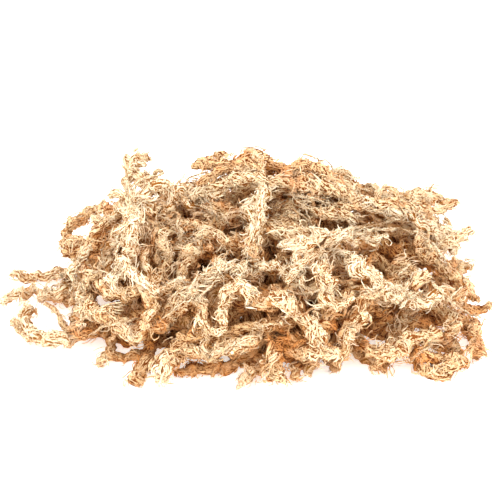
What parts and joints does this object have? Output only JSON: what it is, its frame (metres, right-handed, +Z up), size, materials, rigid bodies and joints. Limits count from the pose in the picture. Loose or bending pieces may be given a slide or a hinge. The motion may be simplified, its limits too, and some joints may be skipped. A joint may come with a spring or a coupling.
{
  "type": "sphagnum moss clump",
  "caption": "Loose heap of dried sphagnum moss: long shaggy leafy strands tangled over one another, lying on a surface.",
  "frame": {"origin": "on the table under the middle of the heap's box", "axes": "+X along the heap's length, to the viewer's right; +Y to its rear; +Z up"},
  "size_m": [0.1778, 0.1134, 0.0516],
  "materials": {
    "cream_moss": "matte, dry leafy branches, pale cream",
    "rust_moss": "matte, dry leafy branches, orange-brown",
    "stem_moss": "matte, dry leafy branches on a pale smooth stem",
    "straw_moss": "matte, dry leafy branches, straw yellow",
    "tan_moss": "matte, dry leafy branches, tan"
  },
  "bodies": {
    "root": {"left_rear_tip_strand": "straw_moss", "left_tip_strand": "cream_moss", "left_hook_strand": "cream_moss", "front_left_low_strand": "straw_moss", "front_left_tip_strand": "tan_moss", "front_low_strand": "straw_moss", "front_tip_strand": "cream_moss", "front_ragged_strand": "straw_moss", "front_blunt_strand": "cream_moss", "front_right_lobe_strand": "cream_moss", "right_loop_strand": "tan_moss", "right_spiky_strand": "rust_moss", "right_tip_strand": "rust_moss", "right_rear_head_strand": "cream_moss", "right_lobe_strand": "straw_moss", "base_01_strand": "cream_moss", "base_02_strand": "tan_moss", "base_03_strand": "tan_moss", "base_04_strand": "tan_moss", "base_05_strand": "tan_moss", "base_06_strand": "cream_moss", "base_07_strand": "tan_moss", "base_08_strand": "cream_moss", "base_09_strand": "cream_moss", "base_10_strand": "straw_moss", "lower_01_strand": "straw_moss", "lower_02_strand": "tan_moss", "lower_03_strand": "cream_moss", "lower_04_strand": "tan_moss", "lower_05_strand": "cream_moss", "lower_06_strand": "tan_moss", "lower_07_strand": "straw_moss", "lower_08_strand": "straw_moss", "lower_09_strand": "straw_moss", "middle_01_strand": "tan_moss", "middle_02_strand": "straw_moss", "middle_03_strand": "straw_moss", "middle_04_strand": "straw_moss", "middle_05_strand": "cream_moss", "middle_06_strand": "straw_moss", "middle_07_strand": "tan_moss", "middle_08_strand": "straw_moss", "middle_09_strand": "straw_moss", "middle_10_strand": "tan_moss", "upper_01_strand": "cream_moss", "upper_02_strand": "straw_moss", "upper_03_strand": "straw_moss", "upper_04_strand": "straw_moss", "upper_05_strand": "cream_moss", "upper_06_strand": "tan_moss", "upper_07_strand": "cream_moss", "left_arch_strand": "tan_moss", "upright_stem_strand": "stem_moss", "rear_left_tuft_strand": "straw_moss", "rear_right_tuft_strand": "straw_moss", "right_rear_tuft_strand": "tan_moss", "ridge_strand": "rust_moss", "pale_bow_strand": "cream_moss", "right_fall_strand": "cream_moss", "front_fall_strand": "stem_moss"}
  },
  "joints": []
}
